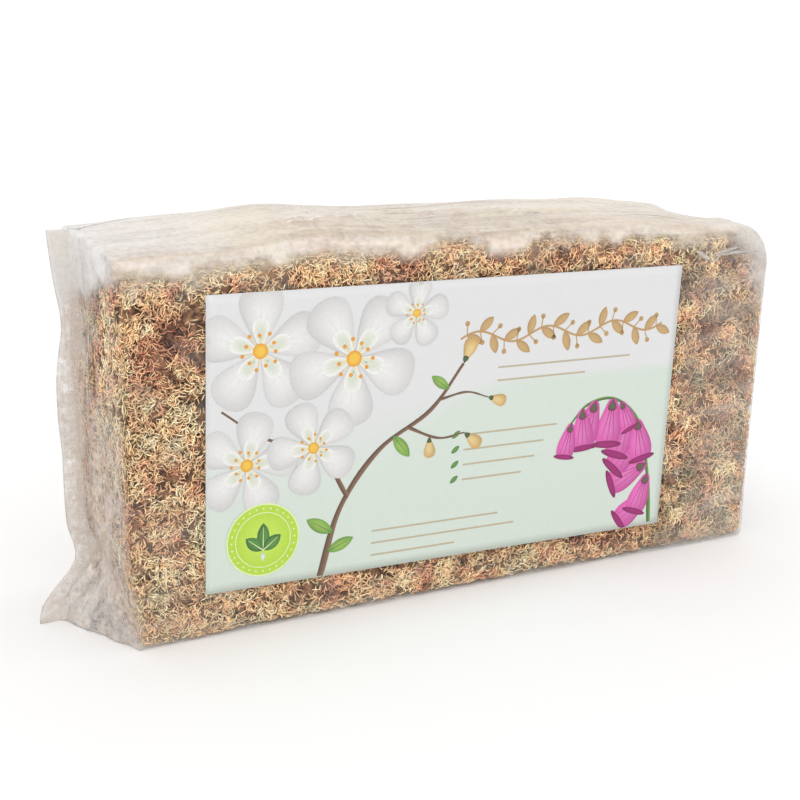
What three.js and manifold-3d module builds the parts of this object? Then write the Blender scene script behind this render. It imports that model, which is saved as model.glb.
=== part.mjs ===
// A brick of dried sphagnum moss, pressed for packing, in a clear film bag with a printed label.
// Millimetres, +Z up. The brick stands on its long narrow side; the label is on the front, which
// faces -Y, and +X runs along the brick to the right as the label is read.
import * as THREE from "three";
import { mergeVertices } from "three/addons/utils/BufferGeometryUtils.js";
import Module from "manifold-3d";

const wasm = await Module();
wasm.setup();

// Driving dimensions.
const BRICK = { length: 290, depth: 75, height: 144, edgeRadius: 6.5 };
const STRAND_RISE = 1.5; // how far the moss strands stand out of the pressed mass
const STRANDS_PER_MM2 = 1 / 2800;
const HEAD = { size: 33, ridge: 1.2, valley: -0.5, middle: 0.4, crease: -1.6 }; // a pressed moss head
const FILM = { thickness: 0.7, clearance: 0.35, edgeRadius: 8, footRadius: 2, endRadius: 5 };
const SEAL = { thickness: 1.4, width: 8, earLift: 9.5 }; // the welded left end
const FOLD = { thickness: 1.2, width: 12, height: 104, y: 5 }; // the weld folded flat on the right end
const LEAN = { inward: 5, height: 45, length: 46 }; // the lower left end stands in from the upper
const VENT = { radius: 3, x: 96, z: 104 };
const LABEL = { width: 210, height: 116.5, thickness: 0.4, gap: 0.3, x: -9, z: 75, turn: 0.0203 };

// Places that a smooth line passes through. Along the brick: the height of the film's top edge, and
// how high the slack film stands over that edge in the middle.
const TOP_EDGE = [
  [-146, 145.5],
  [-62, 148.5],
  [37, 147.5],
  [100, 145],
  [125, 145.5],
  [134, 145],
  [141, 141],
  [146, 132],
];
const CROWN = [
  [-146, 8],
  [-110, 7.5],
  [-68, 9.5],
  [-20, 4.5],
  [37, 5.5],
  [88, 5.5],
  [103, 4],
  [115, 1],
  [128, 0.3],
  [146, 0],
];
// Up from the ground: how far the welded edge reaches past the left end of the film. The corners of
// the flat tube stick out as ears, and the lower one splays along the ground.
const SEAL_EDGE = [
  [0, 29],
  [7, 27],
  [14, 21.5],
  [25, 10.8],
  [40, 11.4],
  [66, 12],
  [104, 11.6],
  [118, 9.5],
  [135, 11.8],
  [155, 13.8],
];

const COLOURS = {
  moss: 0xb59a6c,
  film: 0xe6e2dd,
  label: 0xd3e2d6,
};

// A seeded random number source, from 0 to 1.
function randomSource(seed) {
  let state = seed;
  return () => {
    state = (state + 0x6d2b79f5) | 0;
    let t = Math.imul(state ^ (state >>> 15), 1 | state);
    t = (t + Math.imul(t ^ (t >>> 7), 61 | t)) ^ t;
    return ((t ^ (t >>> 14)) >>> 0) / 4294967296;
  };
}
const random = randomSource(7);
const between = (low, high) => low + (high - low) * random();
const { lerp, clamp, mapLinear, smoothstep } = THREE.MathUtils;

// The smooth line through some places, as a function of the first number of each.
function lineThrough(places) {
  const knots = places.map(([x, y]) => new THREE.Vector3(x, y, 0));
  const points = new THREE.CatmullRomCurve3(knots, false, "centripetal").getPoints(80);
  return (x) => {
    const next = points.findIndex((point) => point.x >= x);
    if (next === 0) return points[0].y;
    if (next < 0) return points.at(-1).y;
    const [low, high] = [points[next - 1], points[next]];
    return mapLinear(x, low.x, high.x, low.y, high.y);
  };
}
const topEdge = lineThrough(TOP_EDGE);
const crown = lineThrough(CROWN);
const sealReach = lineThrough(SEAL_EDGE);

// ---- closed meshes to solids and back ----

function solidFrom(geometry) {
  const bare = geometry.clone();
  bare.deleteAttribute("normal");
  bare.deleteAttribute("uv");
  const merged = mergeVertices(bare, 1e-4);
  return new wasm.Manifold(
    new wasm.Mesh({
      numProp: 3,
      vertProperties: new Float32Array(merged.getAttribute("position").array),
      triVerts: new Uint32Array(merged.index.array),
    }),
  );
}

function geometryFrom(solid) {
  const mesh = solid.getMesh();
  const geometry = new THREE.BufferGeometry();
  geometry.setAttribute("position", new THREE.BufferAttribute(mesh.vertProperties.slice(), 3));
  geometry.setIndex(new THREE.BufferAttribute(mesh.triVerts.slice(), 1));
  geometry.computeVertexNormals();
  return geometry;
}

// A solid lofted through rings of points, each ring the same length. A ladder of faces closes each
// end: its rungs join the two places that lie equally far from the ring's first point.
function loft(rings) {
  const points = rings.flat();
  const count = rings[0].length;
  const faces = [];
  for (let i = 0; i + 1 < rings.length; i++) {
    for (let j = 0; j < count; j++) {
      const a = i * count + j;
      const b = i * count + ((j + 1) % count);
      faces.push(a, b, b + count, a, b + count, a + count);
    }
  }
  const closeEnd = (start, flip) => {
    for (let j = 0; j < count - j - 1; j++) {
      const rung = [j, j + 1, count - j - 1, (count - j) % count].map((k) => start + k);
      const [a, b, c, d] = flip ? rung.reverse() : rung;
      if (a !== b && b !== c) faces.push(a, c, b);
      if (a !== d && c !== d) faces.push(a, d, c);
    }
  };
  closeEnd(0, false);
  closeEnd((rings.length - 1) * count, true);
  const geometry = new THREE.BufferGeometry().setFromPoints(points).setIndex(faces);
  const solid = solidFrom(geometry);
  return solid.volume() < 0 ? solidFrom(turnedInsideOut(geometry)) : solid;
}

function turnedInsideOut(geometry) {
  const index = Array.from(geometry.index.array);
  for (let i = 0; i < index.length; i += 3) [index[i + 1], index[i + 2]] = [index[i + 2], index[i + 1]];
  return geometry.clone().setIndex(index);
}

// The left end of the brick and of the film leans a little: its lower part stands further in.
function leaning(point) {
  const low = 1 - smoothstep(point.z, 0, LEAN.height);
  const left = 1 - smoothstep(point.x + BRICK.length / 2, 0, LEAN.length);
  return point.setX(point.x + LEAN.inward * low * left);
}

// ---- the moss ----

const FLOOR = FILM.thickness + FILM.clearance;
const CORE = {
  half: new THREE.Vector3(
    BRICK.length / 2 - STRAND_RISE,
    BRICK.depth / 2 - STRAND_RISE,
    BRICK.height / 2 - STRAND_RISE,
  ),
  middle: new THREE.Vector3(0, 0, FLOOR + BRICK.height / 2),
};

// The nearest place on the round-edged brick to a point near it, with the way out of the moss there.
function onBrick(point) {
  const inner = CORE.half.clone().subScalar(BRICK.edgeRadius);
  const local = point.clone().sub(CORE.middle);
  const held = local.clone().clamp(inner.clone().negate(), inner);
  const out = local.sub(held);
  if (out.lengthSq() < 1e-9) throw new Error("a point lies too deep in the brick");
  out.normalize();
  return { at: held.addScaledVector(out, BRICK.edgeRadius).add(CORE.middle), out };
}

// The brick's top isn't level, so each place on the straight brick is raised or lowered in
// proportion.
function settled(point) {
  const height = topEdge(point.x) - 2 * FLOOR;
  return leaning(point.setZ(FLOOR + ((point.z - FLOOR) * height) / BRICK.height));
}

// The six faces of the brick, each with the two ways that its moss heads are laid out along.
const FACES = [
  { normal: [0, -1, 0], along: [1, 0, 0], across: [0, 0, 1] },
  { normal: [0, 1, 0], along: [-1, 0, 0], across: [0, 0, 1] },
  { normal: [0, 0, 1], along: [1, 0, 0], across: [0, 1, 0] },
  { normal: [0, 0, -1], along: [-1, 0, 0], across: [0, 1, 0] },
  { normal: [-1, 0, 0], along: [0, -1, 0], across: [0, 0, 1] },
  { normal: [1, 0, 0], along: [0, 1, 0], across: [0, 0, 1] },
].map((face) => ({
  normal: new THREE.Vector3(...face.normal),
  along: new THREE.Vector3(...face.along),
  across: new THREE.Vector3(...face.across),
}));

// A place on the brick, from a place on one of its flat faces and a height over the moss.
function raised(face, u, v, height) {
  const flat = CORE.middle
    .clone()
    .addScaledVector(face.along, u)
    .addScaledVector(face.across, v)
    .addScaledVector(face.normal, Math.abs(face.normal.dot(CORE.half)));
  const { at, out } = onBrick(flat);
  return at.addScaledVector(out, height);
}

// The rim of a head's cell, from -1 to 1 each way: its corners, and two places along each side.
const RIM = [];
for (let side = 0; side < 4; side++) {
  for (const step of [-1, -1 / 3, 1 / 3]) {
    const [u, v] = [step, -1];
    RIM.push([[u, v], [-v, u], [-u, -v], [v, -u]][side]);
  }
}

// One moss head pressed flat: branches run out from its middle as ridges, with valleys between
// them, and turn a little on the way. It meets its neighbours in a crease.
function headFaces(face, cell, triangles) {
  const turn = between(-0.45, 0.45);
  const middle = [cell.u + between(-0.2, 0.2) * cell.halfU, cell.v + between(-0.2, 0.2) * cell.halfV];
  const ridgeFirst = random() < 0.5 ? 0 : 1;
  const ring = (share, ridge, valley, turned) =>
    RIM.map(([u, v], k) => {
      const isRidge = k % 2 === ridgeFirst;
      const reach = share * (isRidge ? 1.12 : 0.9) * between(0.94, 1.06);
      const [c, s] = [Math.cos(turned), Math.sin(turned)];
      const du = (cell.u + u * cell.halfU - middle[0]) * reach;
      const dv = (cell.v + v * cell.halfV - middle[1]) * reach;
      const height = isRidge ? ridge : valley;
      return raised(face, middle[0] + du * c - dv * s, middle[1] + du * s + dv * c, height);
    });
  const top = raised(face, middle[0], middle[1], HEAD.middle);
  const inner = ring(0.3, HEAD.ridge, HEAD.valley, turn);
  const outer = ring(0.66, HEAD.ridge * 0.8, HEAD.valley - 1, turn * 0.4);
  const rim = RIM.map(([u, v]) =>
    raised(face, cell.u + u * cell.halfU, cell.v + v * cell.halfV, HEAD.crease),
  );
  for (let k = 0; k < RIM.length; k++) {
    const next = (k + 1) % RIM.length;
    triangles.push(top, inner[k], inner[next]);
    triangles.push(inner[k], outer[k], outer[next], inner[k], outer[next], inner[next]);
    triangles.push(outer[k], rim[k], rim[next], outer[k], rim[next], outer[next]);
  }
}

// The pressed mass, covered by moss heads.
function pressedMass() {
  const triangles = [];
  for (const face of FACES) {
    const [spanU, spanV] = [face.along, face.across].map((way) => 2 * Math.abs(way.dot(CORE.half)));
    const [columns, rows] = [spanU, spanV].map((span) => Math.round(span / HEAD.size));
    for (let i = 0; i < columns; i++) {
      for (let j = 0; j < rows; j++) {
        const cell = {
          u: ((i + 0.5) / columns - 0.5) * spanU,
          v: ((j + 0.5) / rows - 0.5) * spanV,
          halfU: spanU / columns / 2,
          halfV: spanV / rows / 2,
        };
        headFaces(face, cell, triangles);
      }
    }
  }
  const settledTriangles = triangles.map((point) => settled(point.clone()));
  return solidFrom(new THREE.BufferGeometry().setFromPoints(settledTriangles));
}

// A loose strand: a three-sided leafy stem that starts in the moss, arches over the surface while
// it curls, and has its tip pressed back in.
function strand(face) {
  const steps = 5;
  const length = between(20, 34);
  const width = between(2.4, 3.2);
  const curl = between(-0.55, 0.55);
  const [u, v] = [face.along, face.across].map(
    (way) => between(-0.94, 0.94) * Math.abs(way.dot(CORE.half)),
  );
  const angle = between(0, 2 * Math.PI);
  const way = face.along.clone().multiplyScalar(Math.cos(angle));
  way.addScaledVector(face.across, Math.sin(angle));
  let here = onBrick(raised(face, u, v, 1));
  const rings = [];
  for (let i = 0; i < steps; i++) {
    const share = i / (steps - 1);
    const half = (width / 2) * (1 - 0.6 * share);
    const crest = STRAND_RISE * (2.1 * Math.sin(Math.PI * (0.06 + 0.88 * share)) - 1.1);
    way.addScaledVector(here.out, -way.dot(here.out)).normalize();
    const side = new THREE.Vector3().crossVectors(here.out, way);
    const ridge = here.at.clone().addScaledVector(here.out, crest);
    const foot = ridge.clone().addScaledVector(here.out, -1.3 * half);
    const feet = [-half, half].map((offset) => foot.clone().addScaledVector(side, offset));
    rings.push([...feet, ridge].map(settled));
    way.applyAxisAngle(here.out, curl);
    here = onBrick(here.at.clone().addScaledVector(way, length / (steps - 1)));
  }
  return loft(rings);
}

function mossBrick() {
  const strands = [];
  for (const face of FACES) {
    const area = 4 * Math.abs(face.along.dot(CORE.half) * face.across.dot(CORE.half));
    const count = Math.round(area * STRANDS_PER_MM2);
    for (let i = 0; i < count; i++) strands.push(strand(face));
  }
  const joined = wasm.Manifold.union([pressedMass(), ...strands]);
  return joined.decompose().sort((a, b) => b.volume() - a.volume())[0];
}

// ---- the film bag ----

const BAG = { halfLength: BRICK.length / 2 + FLOOR, halfDepth: BRICK.depth / 2 + FLOOR };
const STATIONS = 20; // steps along the brick
const RING = { upright: 10, level: 3 }; // steps up each side, and from an edge to the middle

// How far the film over the top of the brick is slack, with a few folds in it.
function slack(x, across) {
  const bow = Math.sqrt(Math.max(0, 1 - across ** 2));
  const folds = 0.08 * Math.sin(x / 17 + 3 * across) + 0.05 * Math.sin(x / 8.3 - 5 * across);
  return crown(x) * bow * (1 + folds);
}

// One ring of the bag's cross-section, as (y, z) pairs from the middle of its foot to the front,
// up, and round by the back. half is what is left of the depth there, and wall raises the ring's
// foot and lowers its top, for the inside of the film.
function crossSection(half, lift, x, wall) {
  const radius = Math.min(FILM.edgeRadius - wall, half / 2);
  const footRadius = Math.min(FILM.footRadius, half / 2);
  const top = topEdge(x) + lift - wall;
  const front = [];
  for (let k = 0; k <= RING.level; k++) {
    front.push([lerp(0, footRadius - half, k / RING.level), wall]);
  }
  for (let k = 0; k < RING.upright; k++) {
    front.push([-half, lerp(wall + footRadius, top - radius, (k / RING.upright) ** 1.4)]);
  }
  for (const turn of [0, Math.PI / 4]) {
    front.push([radius - half - radius * Math.cos(turn), top - radius + radius * Math.sin(turn)]);
  }
  for (let k = 0; k < RING.level; k++) {
    front.push([lerp(radius - half, 0, k / RING.level), top]);
  }
  const back = front.slice(1).reverse().map(([y, z]) => [-y, z]);
  const fullness = half / BAG.halfDepth;
  return [...front, [0, top], ...back].map(([y, z]) => {
    const onTop = smoothstep(z, top - radius - 3, top);
    return [y, z + onTop * fullness * slack(x, clamp(y / half, -1, 1))];
  });
}

// The bag's rings from the welded left end, over the roof-shaped end of the film, along the brick,
// to the right end. wall is 0 for the outside of the film, and its thickness for the inside, which
// starts a little way from the weld.
function bagRings(wall) {
  const rings = [];
  const sealHalf = SEAL.thickness / 2;
  const place = (section, x) => {
    rings.push(section.map(([y, z]) => leaning(new THREE.Vector3(x(z), y, z))));
  };
  if (!wall) {
    for (const share of [0, 0.5, 1]) {
      const section = crossSection(sealHalf, SEAL.earLift, -BAG.halfLength, 0);
      place(section, (z) => -BAG.halfLength - sealReach(z) + share * SEAL.width);
    }
  }
  for (const share of [0.12, 0.35, 0.6, 0.85]) {
    const half = lerp(sealHalf, BAG.halfDepth, share) - 0.2 * Math.sign(wall);
    const section = crossSection(half, SEAL.earLift * (1 - share), -BAG.halfLength, wall);
    place(section, (z) => -BAG.halfLength - (sealReach(z) - SEAL.width) * (1 - share) + 1.2 * wall);
  }
  const straight = BAG.halfLength - FILM.endRadius;
  for (let i = 0; i <= STATIONS; i++) {
    const x = straight * Math.sin((i / STATIONS - 0.5) * Math.PI);
    place(crossSection(BAG.halfDepth - wall, 0, x, wall), () => x);
  }
  for (const turn of [Math.PI / 4, Math.PI / 2]) {
    const pulledIn = FILM.endRadius * (1 - Math.cos(turn));
    const x = straight + (FILM.endRadius - wall) * Math.sin(turn);
    place(crossSection(BAG.halfDepth - wall - pulledIn, 0, x, wall), () => x);
  }
  return rings;
}

function filmBag() {
  const outside = loft(bagRings(0));
  const inside = loft(bagRings(FILM.thickness));
  const sunk = 0.2;
  const foldedWeld = new THREE.BoxGeometry(FOLD.thickness + sunk, FOLD.width, FOLD.height);
  foldedWeld.translate(BAG.halfLength + (FOLD.thickness - sunk) / 2, FOLD.y, FOLD.height / 2 + 8);
  const vent = new THREE.CylinderGeometry(VENT.radius, VENT.radius, 8, 12);
  vent.translate(VENT.x, BAG.halfDepth, VENT.z);
  return outside.add(solidFrom(foldedWeld)).subtract(inside).subtract(solidFrom(vent));
}

// ---- the label ----

function printedLabel() {
  const label = new THREE.BoxGeometry(LABEL.width, LABEL.thickness, LABEL.height);
  label.rotateY(LABEL.turn);
  label.translate(LABEL.x, -BAG.halfDepth - LABEL.gap - LABEL.thickness / 2, LABEL.z);
  return label;
}

// ---- the assembly ----

const part = new THREE.Group();
function addNode(name, geometry, material) {
  const mesh = new THREE.Mesh(geometry, new THREE.MeshStandardMaterial(material));
  mesh.name = name;
  part.add(mesh);
}

addNode("moss_brick", geometryFrom(mossBrick()), { color: COLOURS.moss, roughness: 0.95, metalness: 0 });
addNode("film_bag", geometryFrom(filmBag()), {
  color: COLOURS.film,
  roughness: 0.25,
  metalness: 0,
  transparent: true,
  opacity: 0.3,
});
addNode("printed_label", printedLabel(), { color: COLOURS.label, roughness: 0.6, metalness: 0 });

// The origin is at the middle of the whole thing's foot, ears and label included.
const extent = new THREE.Box3().setFromObject(part);
part.position.set(-(extent.min.x + extent.max.x) / 2, -(extent.min.y + extent.max.y) / 2, -extent.min.z);

export default part;
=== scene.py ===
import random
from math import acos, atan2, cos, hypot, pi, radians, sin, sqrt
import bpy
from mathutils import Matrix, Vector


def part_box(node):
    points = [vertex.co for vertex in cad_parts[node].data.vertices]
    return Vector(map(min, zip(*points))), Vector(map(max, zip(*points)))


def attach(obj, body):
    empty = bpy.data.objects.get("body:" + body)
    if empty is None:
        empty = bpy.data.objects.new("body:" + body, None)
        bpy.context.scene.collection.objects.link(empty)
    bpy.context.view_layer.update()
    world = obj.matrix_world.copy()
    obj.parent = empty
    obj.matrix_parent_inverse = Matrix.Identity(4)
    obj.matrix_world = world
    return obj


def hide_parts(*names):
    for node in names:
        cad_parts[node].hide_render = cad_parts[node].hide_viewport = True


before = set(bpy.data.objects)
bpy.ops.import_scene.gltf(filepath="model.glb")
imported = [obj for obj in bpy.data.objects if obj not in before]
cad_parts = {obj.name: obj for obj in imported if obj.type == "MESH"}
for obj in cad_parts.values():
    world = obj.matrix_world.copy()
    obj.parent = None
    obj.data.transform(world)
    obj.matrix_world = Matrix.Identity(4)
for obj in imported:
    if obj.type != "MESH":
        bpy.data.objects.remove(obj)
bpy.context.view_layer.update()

# A brick of dried sphagnum moss, pressed for packing, in a clear film bag with a printed label.
# Shapes are made in the brick's own millimetres, whose middle line is x = y = 0 and whose foot is
# z = 0, and piece() turns them into the frame's metres.
from types import SimpleNamespace

import bmesh
import bpy
import numpy as np
from bmesh.types import BMEdge, BMFace, BMVert
from mathutils import Matrix, Vector, noise
from mathutils.bvhtree import BVHTree

MM = 0.001
FILM_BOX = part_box("film_bag")
LABEL_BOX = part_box("printed_label")

# The film bag, from the middle of its foot.
BAG = SimpleNamespace(half_length=146.05, half_depth=38.55, top_edge=5.5, foot_edge=2.5, end_edge=5)
SEAL = SimpleNamespace(thickness=0.9, width=8, ear_lift=9.5)
FOLD = SimpleNamespace(thickness=1.2, width=12, height=104, y=5, foot=8, ribs=10)
LEAN = SimpleNamespace(inward=5, height=45, start=-145, end=-99)
VENT = SimpleNamespace(radius=3, x=96, z=104)

# Places that a smooth line passes through. Along the brick: the height of the film's top edge, and
# how high the slack film stands over that edge in the middle.
TOP_EDGE = [
    (-146, 145.5), (-62, 148.5), (37, 147.5), (100, 145), (125, 145.5), (134, 145), (141, 141), (146, 132),
]
CROWN = [
    (-146, 8), (-110, 7.5), (-68, 9.5), (-20, 4.5), (37, 5.5), (88, 5.5), (103, 4), (115, 1), (128, 0.3),
    (146, 0),
]
# Up from the ground: how far the welded edge reaches past the left end of the film.
SEAL_EDGE = [
    (0, 29), (7, 27), (14, 21.5), (25, 10.8), (40, 11.4), (66, 12), (104, 11.6), (118, 9.5), (135, 11.8),
    (155, 13.8),
]

# The moss fills the bag up to this gap.
GAP = 0.35
MOSS_EDGE = 5.0
MOSS_HALF = np.array([BAG.half_length - GAP, BAG.half_depth - GAP, 72.7])
MOSS_MIDDLE = np.array([0, 0, GAP + MOSS_HALF[2]])

# The label, whose paper lies inset behind the front of its solid. The print keeps a margin, starts a
# lift over the paper, and has a layer's height between its layers.
LABEL = SimpleNamespace(width=210, height=116.5, x=-9, z=75, turn=0.0203, thickness=0.2, inset=0.2)
PRINT = SimpleNamespace(margin=0.3, lift=0.03, layer=0.005)

INKS = SimpleNamespace(
    petal=(0.80, 0.79, 0.78), petal_rim=(0.60, 0.59, 0.58), petal_foot=(0.55, 0.60, 0.44),
    vein=(0.66, 0.67, 0.62), yellow=(0.84, 0.60, 0.08), orange=(0.70, 0.30, 0.03),
    bark=(0.075, 0.042, 0.028), bark_light=(0.26, 0.15, 0.09), stem=(0.06, 0.05, 0.035),
    leaf_light=(0.36, 0.52, 0.11), leaf=(0.14, 0.34, 0.06), leaf_dark=(0.045, 0.17, 0.045),
    bud=(0.80, 0.64, 0.30), bud_rim=(0.60, 0.36, 0.12), mint=(0.42, 0.58, 0.50),
    lime=(0.42, 0.62, 0.05), lime_bright=(0.52, 0.70, 0.10), lime_pale=(0.68, 0.78, 0.42),
    gold=(0.47, 0.29, 0.12), gold_light=(0.62, 0.42, 0.19), rule=(0.47, 0.40, 0.28),
    magenta=(0.66, 0.08, 0.38), magenta_light=(0.80, 0.22, 0.55), magenta_rim=(0.38, 0.015, 0.19),
    wine=(0.19, 0.008, 0.08),
)

# The brick's own middle line, from the frame: the folded weld is the bag's furthest place to the
# right, and the back of the bag its furthest place to the back.
SHIFT = Vector((
    FILM_BOX[1].x / MM - BAG.half_length - FOLD.thickness,
    FILM_BOX[1].y / MM - BAG.half_depth,
    0,
))
PLACED = Matrix.Scale(MM, 4) @ Matrix.Translation(SHIFT)


# ---- numbers ----


def line_through(places):
    """The smooth line through some places, as a function of the first number of each."""
    xs, ys = np.array(places, float).T
    slopes = np.gradient(ys, xs)

    def height(x):
        x = np.clip(x, xs[0], xs[-1])
        k = np.clip(np.searchsorted(xs, x) - 1, 0, len(xs) - 2)
        step = xs[k + 1] - xs[k]
        t = (x - xs[k]) / step
        start = (1 + 2 * t) * (1 - t) ** 2 * ys[k] + t * (1 - t) ** 2 * step * slopes[k]
        end = t * t * (3 - 2 * t) * ys[k + 1] + t * t * (t - 1) * step * slopes[k + 1]
        return start + end

    return height


top_edge = line_through(TOP_EDGE)
crown = line_through(CROWN)
seal_reach = line_through(SEAL_EDGE)


def lerp(a, b, share):
    return a + (b - a) * share


def clamp(x, low=0, high=1):
    return min(max(x, low), high)


def rise(x, low, high):
    """0 below low, 1 above high, and smooth between."""
    t = np.clip((x - low) / (high - low), 0, 1)
    return t * t * (3 - 2 * t)


def fall(x, low, high):
    """1 below low, 0 above high, and smooth between."""
    return 1 - rise(x, low, high)


def wobble(x, y, z):
    """Smooth noise at a place, over and under 0."""
    return noise.noise(Vector((x, y, z)))


def curve(*points):
    """A smooth line through a few places, as a function of the share along it."""
    shares = np.linspace(0, 1, len(points))
    lines = [line_through(list(zip(shares, values))) for values in zip(*points)]
    return lambda share: Vector([line(share) for line in lines])


def polar(at, angle, reach):
    """The place on the flat that lies at an angle and a distance from another."""
    return at[0] + reach * cos(angle), at[1] + reach * sin(angle)


def sag(x, y):
    """How far the top sags at the right end: over its back half, and at its front corner."""
    back_half = 4.8 * rise(x, 112, 144) * rise(y, -24, 5) * (1 - 0.45 * rise(y, 14, 34))
    front_corner = 3.4 * rise(x, 134, 146) * rise(-y, 16, 27) * (1 - 0.3 * rise(-y, 29, 36))
    return back_half + front_corner


def lean(x, z):
    """How far in the lower part of the left end stands."""
    return LEAN.inward * fall(z, 0, LEAN.height) * fall(x, LEAN.start, LEAN.end)


def leaning(points):
    moved = points.copy()
    moved[:, 0] += lean(points[:, 0], points[:, 2])
    return moved


# ---- meshes ----


def coordinates(mesh):
    found = np.empty(len(mesh.vertices) * 3, np.float32)
    mesh.vertices.foreach_get("co", found)
    return found.reshape(-1, 3).astype(float)


def write_coordinates(mesh, points):
    mesh.vertices.foreach_set("co", points.astype(np.float32).ravel())
    mesh.update()


def write_values(mesh, name, values):
    """A number for each vertex, which the piece's material reads by name."""
    layer = mesh.attributes.new(name, "FLOAT", "POINT")
    layer.data.foreach_set("value", np.asarray(values, np.float32))


def piece(name, mesh, material, node):
    """A finished piece of the part, from a mesh in the brick's millimetres."""
    mesh.transform(PLACED)
    mesh.materials.append(material)
    mesh.shade_smooth()
    made = bpy.data.objects.new(name, mesh)
    bpy.context.collection.objects.link(made)
    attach(made, "root")
    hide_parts(node)


def mesh_from(name, bm):
    mesh = bpy.data.meshes.new(name)
    bm.to_mesh(mesh)
    bm.free()
    return mesh


def only(kind, items):
    return [item for item in items if isinstance(item, kind)]


def sheet(name, size, steps, thickness):
    """A flat sheet in so many steps, lying down: its mesh and its places."""
    bm = bmesh.new()
    bmesh.ops.create_grid(bm, x_segments=steps[0], y_segments=steps[1], size=0.5)
    bmesh.ops.scale(bm, vec=(*size, 1), verts=bm.verts)
    bmesh.ops.solidify(bm, geom=bm.faces[:], thickness=thickness)
    bmesh.ops.recalc_face_normals(bm, faces=bm.faces)
    mesh = mesh_from(name, bm)
    return mesh, coordinates(mesh)


# ---- materials ----


# The film is never milkier than this.
MOST_HAZE = 0.97


class Nodes:
    """A new material and short ways to add its nodes."""

    def __init__(self, name):
        self.material = bpy.data.materials.new(name)
        self.material.use_nodes = True
        self.tree = self.material.node_tree
        self.shader = self.tree.nodes["Principled BSDF"]

    def feed(self, sockets, values):
        """Gives some inputs a number or a colour each, or links them to another node."""
        for key, value in values.items():
            if isinstance(value, bpy.types.NodeSocket):
                self.tree.links.new(value, sockets[key])
            else:
                sockets[key].default_value = value

    def add(self, kind, values=None, **settings):
        node = self.tree.nodes.new("ShaderNode" + kind)
        for key, setting in settings.items():
            setattr(node, key, setting)
        self.feed(node.inputs, values or {})
        return node

    def value(self, name, output="Fac"):
        return self.add("Attribute", attribute_name=name).outputs[output]

    def maths(self, operation, a, b, clamp=False):
        return self.add("Math", {0: a, 1: b}, operation=operation, use_clamp=clamp).outputs[0]

    def spread(self, value, low, high, to_low=0.0, to_high=1.0):
        return self.add("MapRange", {0: value, 1: low, 2: high, 3: to_low, 4: to_high}).outputs[0]

    def noise(self, scale, detail, roughness=0.55, stretch=(1, 1, 1), kind="FBM"):
        """Noise on the object's own metres, finer along an axis where stretch is larger."""
        place = self.add("TexCoord").outputs["Object"]
        place = self.add("Mapping", {"Vector": place, "Scale": stretch}).outputs[0]
        values = {"Vector": place, "Scale": scale, "Detail": detail, "Roughness": roughness}
        return self.add("TexNoise", values, noise_type=kind).outputs["Fac"]

    def ramp(self, value, stops):
        node = self.add("ValToRGB", {0: value})
        elements = node.color_ramp.elements
        while len(elements) < len(stops):
            elements.new(0.5)
        for element, (place, colour) in zip(elements, stops):
            element.position = place
            element.color = (*colour, 1)
        return node.outputs["Color"]

    def mix(self, share, a, b, blend="MIX"):
        return self.add("Mix", {0: share, 6: a, 7: b}, data_type="RGBA", blend_type=blend).outputs[2]

    def bump(self, height, distance, strength, **under):
        values = {"Height": height, "Distance": distance, "Strength": strength, **under}
        return self.add("Bump", values).outputs["Normal"]

    def finish(self, colour, roughness, **others):
        """Feeds the shader, and gives back the finished material."""
        self.feed(self.shader.inputs, {"Base Color": colour, "Roughness": roughness, **others})
        return self.material


MOSS_COLOURS = [
    (0.00, (0.12, 0.062, 0.060)),  # plum shade
    (0.10, (0.35, 0.143, 0.090)),  # chocolate
    (0.23, (0.69, 0.29, 0.155)),  # rust
    (0.37, (0.88, 0.49, 0.305)),  # pinkish brown
    (0.51, (0.93, 0.605, 0.335)),  # tan
    (0.67, (0.98, 0.73, 0.41)),  # straw
    (0.84, (1.00, 0.88, 0.615)),  # cream
    (1.00, (0.86, 0.72, 0.40)),  # dry green
]


def moss_strand_finish():
    """Dried strands: their hue along one scale of straw, rust and cream, and how light they are. Their
    lightness holds their own tone and also painted light and shade.
    """
    nodes = Nodes("dried_moss_strands")
    hue = nodes.ramp(nodes.value("hue"), MOSS_COLOURS)
    light = nodes.value("light")
    grey = nodes.add("CombineColor", {0: light, 1: light, 2: light}).outputs[0]
    nodes.feed(nodes.shader.inputs, {"Specular IOR Level": 0.3})
    return nodes.finish(nodes.mix(1.0, hue, grey, "MULTIPLY"), nodes.spread(light, 0.3, 1.2, 0.9, 0.6))


def moss_core_finish():
    """The pressed mass between the strands: more of them, matted, with painted shade in the gaps between
    them. pale is higher towards the top, painted light that lifts the moss there."""
    nodes = Nodes("pressed_moss")
    threads = nodes.noise(560, 2, 0.5, kind="RIDGED_MULTIFRACTAL")
    gaps = nodes.noise(260, 2)
    pale = nodes.value("pale")
    strands = nodes.ramp(nodes.noise(90, 3), [
        (0.32, (0.55, 0.28, 0.17)),
        (0.42, (0.74, 0.45, 0.29)),
        (0.52, (0.82, 0.58, 0.34)),
        (0.66, (0.90, 0.72, 0.44)),
    ])
    # pale mixes in lighter colours towards the top: painted light.
    strands = nodes.mix(pale, strands, (0.96, 0.82, 0.55, 1))
    # The gaps between the threads are painted shade: dark brown, lighter near the top.
    dark = nodes.mix(nodes.spread(gaps, 0.42, 0.58), (0.085, 0.04, 0.026, 1), (0.36, 0.18, 0.095, 1))
    dark = nodes.mix(pale, dark, (0.55, 0.37, 0.22, 1))
    ridges = nodes.spread(threads, 0.9, 1.5)
    shown = nodes.maths("MULTIPLY", ridges, nodes.spread(gaps, 0.36, 0.5))
    roughness = nodes.spread(gaps, 0.3, 0.7, 0.95, 0.75)
    return nodes.finish(nodes.mix(shown, dark, strands), roughness, Normal=nodes.bump(threads, 0.0008, 0.8))


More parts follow.
